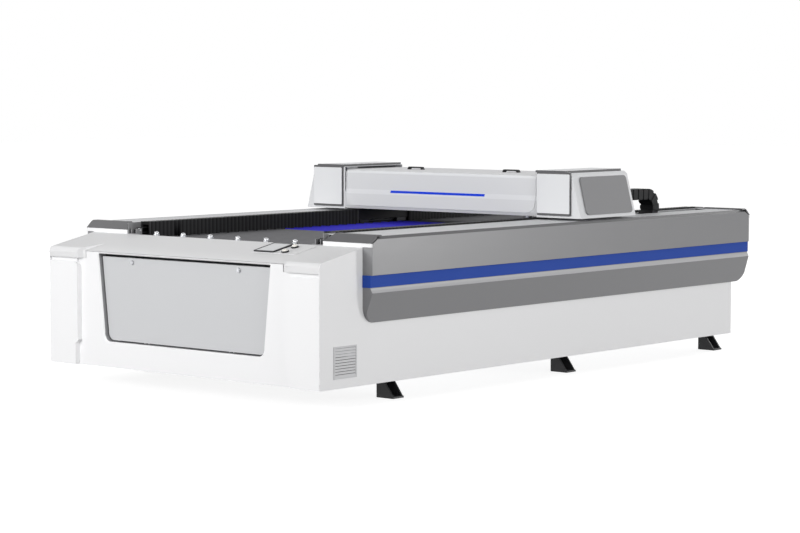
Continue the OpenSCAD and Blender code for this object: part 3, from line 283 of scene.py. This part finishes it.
def cloth_with_painted_fold_shade():
    """Black cloth with painted shade in the valleys and a painted highlight on its outer folds, by the
    distance across the guide way.
    """
    cloth = frame["nodes"]["front_bellows"]
    reach = [abs((cloth.matrix_world @ corner.co).x) for corner in cloth.data.vertices]
    middle = (min(reach) + max(reach)) / 2
    half_width = (max(reach) - min(reach)) / 2
    finish, shader = new_finish("bellows cloth with painted fold shade", tone(20, 20, 22), 0.62, 0.0, 0.2)
    nodes = finish.node_tree.nodes
    links = finish.node_tree.links
    place = nodes.new("ShaderNodeTexCoord")
    axes = nodes.new("ShaderNodeSeparateXYZ")
    side = math_node(nodes, "ABSOLUTE")
    offset = math_node(nodes, "SUBTRACT")
    offset.inputs[1].default_value = middle
    spread = math_node(nodes, "ABSOLUTE")
    fold = nodes.new("ShaderNodeMapRange")
    fold.inputs["From Min"].default_value = half_width - FOLD_DEPTH
    fold.inputs["From Max"].default_value = half_width
    # The ramp runs from painted shade in the valleys to a painted highlight on the outer folds.
    painted_fold_shade = nodes.new("ShaderNodeValToRGB")
    painted_fold_shade.color_ramp.elements[0].color = tone(8, 8, 9)
    painted_fold_shade.color_ramp.elements[1].color = tone(58, 58, 60)
    links.new(place.outputs["Object"], axes.inputs["Vector"])
    links.new(axes.outputs["X"], side.inputs[0])
    links.new(side.outputs["Value"], offset.inputs[0])
    links.new(offset.outputs["Value"], spread.inputs[0])
    links.new(spread.outputs["Value"], fold.inputs["Value"])
    links.new(fold.outputs["Result"], painted_fold_shade.inputs["Fac"])
    links.new(painted_fold_shade.outputs["Color"], shader.inputs["Base Color"])
    raise_skin(finish, shader, grain(finish, MOULD_TOOTH), RUBBER_TOOTH)
    print("bellows width:", round(2 * half_width, 4))
    return finish


finishes["bellows_black"] = cloth_with_painted_fold_shade()

# %% [markdown]
# The laser tube inside the gantry is clear glass with a faint violet tint. Transmission on the same
# shader makes it clear, and a little noise in its gloss gives the glass a surface.

# %% Tube glass
GLASS_ROUGHNESS = 0.06
GLASS_CLOUD = 30.0
GLASS_GLOSS = (-0.03, 0.04)
GLASS_CLEARNESS = 0.85
GLASS_IOR = 1.47


def tube_glass():
    finish, shader = new_finish("laser tube glass", tone(226, 220, 236), GLASS_ROUGHNESS)
    shader.inputs["Transmission Weight"].default_value = GLASS_CLEARNESS
    shader.inputs["IOR"].default_value = GLASS_IOR
    vary_gloss(finish, shader, grain(finish, GLASS_CLOUD), GLASS_ROUGHNESS, GLASS_GLOSS)
    return finish


finishes["tube_glass"] = tube_glass()
print("finishes:", len(finishes))


# %% [markdown]
# ## From solids to sheet metal
# The frame's solids have knife-sharp edges. A folded sheet has a small radius at every bend, and
# that radius is what catches the light. Each node is copied, its loose triangles are merged, flat
# areas are dissolved to single faces, and a bevel modifier rounds the edges that are left.

# %% Select by code
def only(piece):
    bpy.ops.object.select_all(action="DESELECT")
    piece.select_set(True)
    bpy.context.view_layer.objects.active = piece


def newest():
    """The object that the last operator made."""
    return bpy.context.view_layer.objects.active


def apply_all(piece):
    only(piece)
    for name in [modifier.name for modifier in piece.modifiers]:
        bpy.ops.object.modifier_apply(modifier=name)


# %% Copy a node and merge it
MERGE_DISTANCE = 0.01 * MM
FLAT_DEGREES = 0.5


def clean_copy(node):
    """A merged copy of a CAD node, with its flat areas as single faces."""
    only(frame["nodes"][node])
    bpy.ops.object.duplicate()
    piece = newest()
    bpy.ops.object.parent_clear(type="CLEAR_KEEP_TRANSFORM")
    piece.name = node + "_dressed"
    bpy.ops.object.mode_set(mode="EDIT")
    bpy.ops.mesh.select_all(action="SELECT")
    bpy.ops.mesh.remove_doubles(threshold=MERGE_DISTANCE)
    bpy.ops.mesh.dissolve_limited(angle_limit=math.radians(FLAT_DEGREES))
    bpy.ops.object.mode_set(mode="OBJECT")
    return piece


# %% Round the edges and shade
BEVEL_STEPS = 2
BEND_DEGREES = 28
SMOOTH_DEGREES = 32
FLAT_WEIGHT = 100


def round_edges(piece, radius, sharper_than=BEND_DEGREES):
    """A radius in millimetres on the edges that turn by more than that many degrees."""
    bevel = piece.modifiers.new("edge radius", "BEVEL")
    bevel.width = radius * MM
    bevel.segments = BEVEL_STEPS
    bevel.limit_method = "ANGLE"
    bevel.angle_limit = math.radians(sharper_than)
    bevel.use_clamp_overlap = True
    apply_all(piece)


def smooth(piece):
    """Smooth shading that leaves the flat faces flat beside their rounded edges."""
    only(piece)
    bpy.ops.object.shade_smooth_by_angle(angle=math.radians(SMOOTH_DEGREES))
    flats = piece.modifiers.new("flat faces", "WEIGHTED_NORMAL")
    flats.weight = FLAT_WEIGHT
    flats.keep_sharp = True
    apply_all(piece)


# %% Dress a node
def finish_piece(piece, slot, finish=None):
    piece.data.materials.clear()
    piece.data.materials.append(finish or finishes[slot])


def dress(node, radius):
    piece = clean_copy(node)
    if radius > 0:
        round_edges(piece, radius)
    smooth(piece)
    finish_piece(piece, slot_of_node[node], own_finish.get(node))
    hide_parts(node)
    return piece


# %% [markdown]
# The edge radius follows the way each piece is made: about a millimetre on folded sheet, more on
# blocks and castings, and next to nothing on ground rails. The slats are cut plate and stay sharp.

# %% Edge radius of every rigid node, in millimetres
EDGE = {
    "base_frame": 3, "floor_feet": 1.5, "side_beams": 2, "side_panels": 1, "rear_panel": 1,
    "vent_louvre": 0.6, "front_fascia": 1, "corner_covers": 4, "front_deck": 1.3,
    "side_guards": 1.3, "guard_stripes": 0.6, "top_plates": 1, "beam_caps": 1.5,
    "cap_plinths": 1.5, "guide_rails": 0.5, "y_belts": 0.4, "steel_slats": 0, "blue_slats": 0,
    "bed_frame": 1, "scrap_tray": 1, "ball_cups": 0.8, "control_panel": 0.8, "screen": 1.2,
    "exhaust_spigots": 0.8, "cable_gland": 0.8, "y_motors": 2, "start_button": 1,
    "stop_button": 1, "access_panel": 1.3, "left_latch": 1, "right_latch": 1,
    "drive_pulleys": 0.5, "front_idlers": 0.5, "gantry_beam": 2, "x_rail": 0.5, "carriages": 2,
    "rail_blocks": 1, "front_cover": 0.8, "rear_cover": 1, "gantry_lid": 1, "lid_handles": 4,
    "end_housings": 1.4, "end_front_plates": 2.5, "end_side_panels": 3.5, "end_top_plates": 3,
    "laser_tube": 1, "x_drive": 2, "x_belt": 0.4, "chain_loop": 1.5, "head_carriage": 2,
    "lens_tube": 0.6,
}
dressed = {}
for node_name, edge_radius in EDGE.items():
    piece = dress(node_name, edge_radius)
    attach(piece, body_of_node[node_name])
    dressed[node_name] = piece
print("dressed:", len(dressed))


# %% [markdown]
# A few pieces get a second tone on some faces, mostly painted light. The return round the front
# opening is mid grey as painted shade, the side guards are darker on their top faces and have a lip
# below that is lighter as a painted highlight, and the cheeks beside the front bellows are painted
# lighter than their end caps to stand for light they would catch. Cutting such a piece in two would
# leave seams, so a second material goes on some of its faces, which are chosen by where they lie and
# which way they look.

# %% Paint some faces
def paint_faces(piece, finish, chosen):
    """A second finish on the faces that the test picks by their place and normal."""
    piece.data.materials.append(finish)
    last = len(piece.data.materials) - 1
    count = 0
    for face in piece.data.polygons:
        if chosen(face.center, face.normal):
            face.material_index = last
            count += 1
    print(piece.name, "faces painted:", count)


# %% The return round the front opening
RETURN_START = 5 * MM
RETURN_HALF_WIDTH = 630 * MM
RETURN_MARGIN = 20 * MM
SIDEWAYS = 0.5
fascia_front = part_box("front_fascia")[0][1]
panel_low, panel_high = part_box("access_panel")


def on_shaded_return(place, normal):
    behind_skin = place.y > fascia_front + RETURN_START
    across_opening = abs(place.x) < RETURN_HALF_WIDTH
    beside_panel = panel_low[2] - RETURN_MARGIN < place.z < panel_high[2] + RETURN_MARGIN
    return behind_skin and across_opening and beside_panel and abs(normal.y) < SIDEWAYS


# The return's faces get the mid grey as painted shade.
paint_faces(dressed["front_fascia"], second_finish["opening return painted shade"], on_shaded_return)

# %% The guards' darker tops, the lip with a painted highlight, and the cheeks painted light beside the bellows
DARK_TOP_HEIGHT = 9 * MM
DARK_TOP_TILT = 0.2
LIP_TOP = 585 * MM
LIP_TILT = 0.3
WAY_EDGE = 689.8 * MM
guard_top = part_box("side_guards")[1][2]


# The guards' top faces, which are painted darker.
def on_guard_top(place, normal):
    return place.z > guard_top - DARK_TOP_HEIGHT and normal.z > DARK_TOP_TILT


# Up-facing lip faces that get the painted highlight.
def on_lit_lip(place, normal):
    return place.z < LIP_TOP and normal.z > LIP_TILT


# Cheek faces that are painted lighter as painted light.
def on_cheek_painted_light(place, normal):
    return abs(place.x) < WAY_EDGE and place.y < 0


paint_faces(dressed["side_guards"], second_finish["guard top darker"], on_guard_top)
paint_faces(dressed["side_guards"], second_finish["lit guard lip"], on_lit_lip)
paint_faces(dressed["beam_caps"], second_finish["beam cheek painted light"], on_cheek_painted_light)

# %% [markdown]
# On the gantry, the plates on both ends are silver on top, and the upturned band across the front
# cover is painted lighter as a painted highlight. The plates' faces are found by looking up, and the
# band's by their slope.

# %% The gantry's plates and band
SAME_WAY = 0.9
BAND_SLOPE_LEAST = 0.15
BAND_SLOPE_MOST = 0.45
FORWARD = -0.8


def on_plate_top(place, normal):
    return normal.z > SAME_WAY


def on_highlit_band(place, normal):
    return BAND_SLOPE_LEAST < normal.z < BAND_SLOPE_MOST and normal.y < FORWARD


paint_faces(dressed["end_top_plates"], finishes["panel_silver"], on_plate_top)
paint_faces(dressed["front_cover"], second_finish["light band"], on_highlit_band)

# %% [markdown]
# The balls are true spheres in the frame, but their triangles are coarse. A fine sphere of the same
# size takes the place of each, so that the polished steel shows clean reflections.

# %% Ball transfers
BALLS = 6
BALL_SEGMENTS = 48
BALL_RINGS = 24
for number in range(1, BALLS + 1):
    ball_node = "ball_%d" % number
    low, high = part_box(ball_node)
    centre = (Vector(low) + Vector(high)) / 2
    bpy.ops.object.select_all(action="DESELECT")
    bpy.ops.mesh.primitive_uv_sphere_add(segments=BALL_SEGMENTS, ring_count=BALL_RINGS,
                                         radius=(high[2] - low[2]) / 2, location=centre)
    ball = newest()
    ball.name = ball_node + "_polished"
    bpy.ops.object.transform_apply(location=True, rotation=False, scale=False)
    bpy.ops.object.shade_smooth()
    finish_piece(ball, slot_of_node[ball_node])
    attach(ball, ball_node)
    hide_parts(ball_node)
print("balls:", BALLS)

# %% [markdown]
# ## Pieces that stretch
# The bellows fold and unfold between the gantry and the beam's ends, and the chain's upper run grows
# as the gantry leaves the bend. Their folds and links stay as modelled: each piece is dressed, and its
# place is baked into its mesh.

# %% Bellows and the chain's upper run
# Each row: the body at its start, the body at its end, whether it starts at the front,
# and its edge radius in millimetres
STRETCH = {
    "front_bellows": ("base", "gantry", True, 0),
    "rear_bellows": ("base", "gantry", False, 0),
    "chain_upper_run": ("gantry", "chain_bend", True, 1),
}
for node_name, (first, second, from_front, edge_radius) in STRETCH.items():
    piece = dress(node_name, edge_radius)
    low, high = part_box(node_name)
    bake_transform(piece)
print("stretching pieces:", len(STRETCH))


# %% [markdown]
# ## Trim on the gantry and the control panel
# A thin blue line runs along the sloped band on the gantry's front cover. Paint on the band's faces
# could not end where the line ends, so it is a strip that lies on the slope: a cube is scaled to the
# strip, turned to the slope, and its place applied.

# %% A block helper
def block(name, size, centre, tilt):
    """A box of that size in metres, tilted about X, with its place in its mesh."""
    bpy.ops.object.select_all(action="DESELECT")
    bpy.ops.mesh.primitive_cube_add(size=1, location=centre, rotation=(tilt, 0, 0))
    piece = newest()
    piece.name = name
    piece.scale = size
    bpy.ops.object.transform_apply(location=True, rotation=True, scale=True)
    return piece


# %% The gantry's blue line
BAND_LOW = 89 * MM
BAND_HEIGHT = 26 * MM
BAND_DEPTH = 8 * MM
LINE_SIZE = (680 * MM, 1.2 * MM, 14 * MM)
LINE_OFF_CENTRE = -10 * MM
LINE_SHARE = 0.66
LINE_STAND = 0.4 * MM
LINE_EDGE = 0.3
cover_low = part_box("front_cover")[0]
line_finish = powder_paint("gantry line blue", tone(6, 62, 220), 0.55, 0.15)
band_tilt = -math.atan2(BAND_DEPTH, BAND_HEIGHT)
line_centre = (LINE_OFF_CENTRE, cover_low[1] + BAND_DEPTH * LINE_SHARE - LINE_STAND,
               cover_low[2] + BAND_LOW + BAND_HEIGHT * LINE_SHARE)
blue_line = block("gantry_line", LINE_SIZE, line_centre, band_tilt)
round_edges(blue_line, LINE_EDGE)
smooth(blue_line)
finish_piece(blue_line, "stripe_blue", line_finish)
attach(blue_line, "gantry")
print("blue line:", LINE_SIZE)

# %% [markdown]
# The control panel's screen has a grey pane inside its dark rim. It lies on the deck's slope, so it
# is made flat and turned with it, and it stands a little above the middle of the rim.

# %% Screen pane
SLOPE = math.radians(11.4)
SCREEN_LENGTH = 152 * MM
RIM = 9 * MM
PANE_THICKNESS = 0.6 * MM
PANE_STAND = 1.9 * MM
PANE_TOOTH = 0.01 * MM
PANE_EDGE = 0.2
slope_out = Vector((0, -math.sin(SLOPE), math.cos(SLOPE)))
screen_low, screen_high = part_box("screen")
screen_centre = (Vector(screen_low) + Vector(screen_high)) / 2
pane_size = (screen_high[0] - screen_low[0] - 2 * RIM, SCREEN_LENGTH - 2 * RIM, PANE_THICKNESS)
display_finish = moulded("display pane", tone(204, 206, 208), 0.2, PANE_TOOTH)
pane = block("screen_pane", pane_size, screen_centre + slope_out * PANE_STAND, SLOPE)
round_edges(pane, PANE_EDGE)
finish_piece(pane, "screen_black", display_finish)
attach(pane, "base")
print("pane:", pane_size)

# %% [markdown]
# Each button sits in a black collar, which stays still when the button is pressed into it. A solid
# disc would hide that, so a collar is a true ring: both ends of a cylinder are inset and deleted,
# and a bridge between the two open loops makes the inner wall.

# %% Button collars
COLLAR_RADIUS = 18.5 * MM
COLLAR_HEIGHT = 8.6 * MM
COLLAR_WALL = 5.4 * MM
COLLAR_SINK = 6 * MM
COLLAR_SIDES = 48
COLLAR_EDGE = 0.8
COLLAR_DEGREES = 40
collar_finish = moulded("button collar", tone(26, 26, 28), 0.4, RIM_TOOTH)


def bore_through(ring):
    """Open both ends of a cylinder that stands on the slope, and join them by an inner wall."""
    bpy.ops.object.mode_set(mode="EDIT")
    bpy.ops.mesh.select_mode(type="FACE")
    bpy.ops.mesh.select_all(action="DESELECT")
    bpy.ops.object.mode_set(mode="OBJECT")
    for face in ring.data.polygons:
        face.select = abs(face.normal.dot(slope_out)) > SAME_WAY
    bpy.ops.object.mode_set(mode="EDIT")
    bpy.ops.mesh.inset(thickness=COLLAR_WALL)
    bpy.ops.mesh.delete(type="FACE")
    bpy.ops.mesh.select_mode(type="EDGE")
    bpy.ops.mesh.select_all(action="DESELECT")
    bpy.ops.mesh.select_non_manifold()
    bpy.ops.mesh.bridge_edge_loops()
    bpy.ops.object.mode_set(mode="OBJECT")


for button in ("start_button", "stop_button"):
    low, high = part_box(button)
    centre = (Vector(low) + Vector(high)) / 2
    bpy.ops.object.select_all(action="DESELECT")
    bpy.ops.mesh.primitive_cylinder_add(vertices=COLLAR_SIDES, radius=COLLAR_RADIUS,
                                        depth=COLLAR_HEIGHT, rotation=(SLOPE, 0, 0),
                                        location=centre - slope_out * COLLAR_SINK)
    collar = newest()
    collar.name = button + "_collar"
    bpy.ops.object.transform_apply(location=True, rotation=True, scale=True)
    bore_through(collar)
    round_edges(collar, COLLAR_EDGE, COLLAR_DEGREES)
    smooth(collar)
    finish_piece(collar, "screen_black", collar_finish)
    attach(collar, "base")
    print(collar.name, "faces:", len(collar.data.polygons))


# %% [markdown]
# ## Floor, light and camera
# The machine stands on a plain pale floor against white. More light would bleach the white paint, so
# the floor and the backdrop are bright only for rays from the camera, from reflections and through
# glass. For all other rays the floor is a mid grey and the world is dim, and the shadow stays.

# %% Rays that see the background
def background_rays(nodes, links):
    """1 for rays from the camera, a reflection or clear glass, and 0 for the rays that light."""
    rays = nodes.new("ShaderNodeLightPath")
    seen = rays.outputs["Is Camera Ray"]
    for kind in ("Is Glossy Ray", "Is Transmission Ray"):
        larger = math_node(nodes, "MAXIMUM")
        links.new(seen, larger.inputs[0])
        links.new(rays.outputs[kind], larger.inputs[1])
        seen = larger.outputs["Value"]
    return seen


# %% Floor
FLOOR_SIZE = 80
FLOOR_DROP = 0.5 * MM
FLOOR_ALBEDO = 0.3
FLOOR_ROUGHNESS = 0.9
FLOOR_CLOUD = 3.0
FLOOR_GLOSS = (-0.04, 0.04)
FLOOR_GLOW = 0.86


def pale_floor():
    grey = (FLOOR_ALBEDO, FLOOR_ALBEDO, FLOOR_ALBEDO, 1)
    finish, shader = new_finish("pale floor", grey, FLOOR_ROUGHNESS)
    vary_gloss(finish, shader, grain(finish, FLOOR_CLOUD), FLOOR_ROUGHNESS, FLOOR_GLOSS)
    nodes = finish.node_tree.nodes
    links = finish.node_tree.links
    level = math_node(nodes, "MULTIPLY")
    level.inputs[1].default_value = FLOOR_GLOW
    glow = nodes.new("ShaderNodeEmission")
    both = nodes.new("ShaderNodeAddShader")
    links.new(background_rays(nodes, links), level.inputs[0])
    links.new(level.outputs["Value"], glow.inputs["Strength"])
    links.new(shader.outputs["BSDF"], both.inputs[0])
    links.new(glow.outputs["Emission"], both.inputs[1])
    links.new(both.outputs["Shader"], nodes["Material Output"].inputs["Surface"])
    return finish


bpy.ops.object.select_all(action="DESELECT")
bpy.ops.mesh.primitive_plane_add(size=FLOOR_SIZE, location=(0, 0, -FLOOR_DROP))
floor = newest()
floor.name = "floor"
floor.data.materials.append(pale_floor())
print("floor:", FLOOR_SIZE)

# %% Backdrop
WHITE = (1, 1, 1, 1)
SURROUND_LEVEL = 0.34
BACKDROP_LEVEL = 1.0
world = bpy.data.worlds.new("studio")
scene.world = world
world.use_nodes = True
sky = world.node_tree.nodes
sky_links = world.node_tree.links
surround = sky["Background"]
surround.inputs["Color"].default_value = WHITE
surround.inputs["Strength"].default_value = SURROUND_LEVEL
backdrop = sky.new("ShaderNodeBackground")
backdrop.inputs["Color"].default_value = WHITE
backdrop.inputs["Strength"].default_value = BACKDROP_LEVEL
choose = sky.new("ShaderNodeMixShader")
sky_links.new(background_rays(sky, sky_links), choose.inputs["Fac"])
sky_links.new(surround.outputs["Background"], choose.inputs[1])
sky_links.new(backdrop.outputs["Background"], choose.inputs[2])
sky_links.new(choose.outputs["Shader"], sky["World Output"].inputs["Surface"])
print("world level:", SURROUND_LEVEL)

# %% [markdown]
# Sheet metal shows its bends best in large soft lamps, so five discs light it. The strongest stands
# in front, a weaker one lights the long right side, and a small low one beyond the right rear corner
# gives that side its sheen. Two fills keep the left side and the back readable.

# %% Lamps
BODY_MIDDLE = (0, 0, 0.5)
GUARD_MIDDLE = (0, 0, 0.6)
# Each row: place, what it is aimed at, width in metres, power in watts
LAMPS = {
    "front lamp": ((-1.2, -9.2, 3.0), BODY_MIDDLE, 4.5, 492),
    "side lamp": ((8.5, -3.0, 2.9), BODY_MIDDLE, 4.0, 222),
    "glancing lamp": ((8.2, 5.8, 0.95), GUARD_MIDDLE, 1.7, 175),
    "left fill lamp": ((-8.6, 0.5, 3.2), BODY_MIDDLE, 4.5, 200),
    "rear fill lamp": ((1.0, 9.8, 3.4), BODY_MIDDLE, 4.5, 200),
}
for lamp_name, (place, target, width, power) in LAMPS.items():
    bpy.ops.object.select_all(action="DESELECT")
    bpy.ops.object.light_add(type="AREA", location=place)
    lamp = newest()
    lamp.name = lamp_name
    lamp.data.shape = "DISK"
    lamp.data.size = width
    lamp.data.energy = power
    lamp.rotation_euler = (Vector(target) - Vector(place)).to_track_quat("-Z", "Y").to_euler()
print("lamps:", len(LAMPS))

# %% [markdown]
# The camera is a long lens at eye height, well out from the right front corner, and it looks
# slightly down. Its place and focal length were worked out from the machine's own straight edges.
# The Standard view transform shows a colour about as it was written.

# %% Camera
CAMERA_PLACE = (8.58458, -10.12168, 1.548)
CAMERA_TURN = 40.67
CAMERA_DIP = 4.352
FOCAL_PIXELS = 2417.37
PICTURE_WIDTH = 800
SENSOR = 36.0
VIEW_REACH = 200
bpy.ops.object.camera_add(location=CAMERA_PLACE)
camera = newest()
camera.rotation_euler = (math.radians(90 - CAMERA_DIP), 0, math.radians(CAMERA_TURN))
camera.data.sensor_width = SENSOR
camera.data.lens = FOCAL_PIXELS * SENSOR / PICTURE_WIDTH
camera.data.clip_end = VIEW_REACH
scene.camera = camera
scene.view_settings.view_transform = "Standard"
print("lens:", round(camera.data.lens, 1))
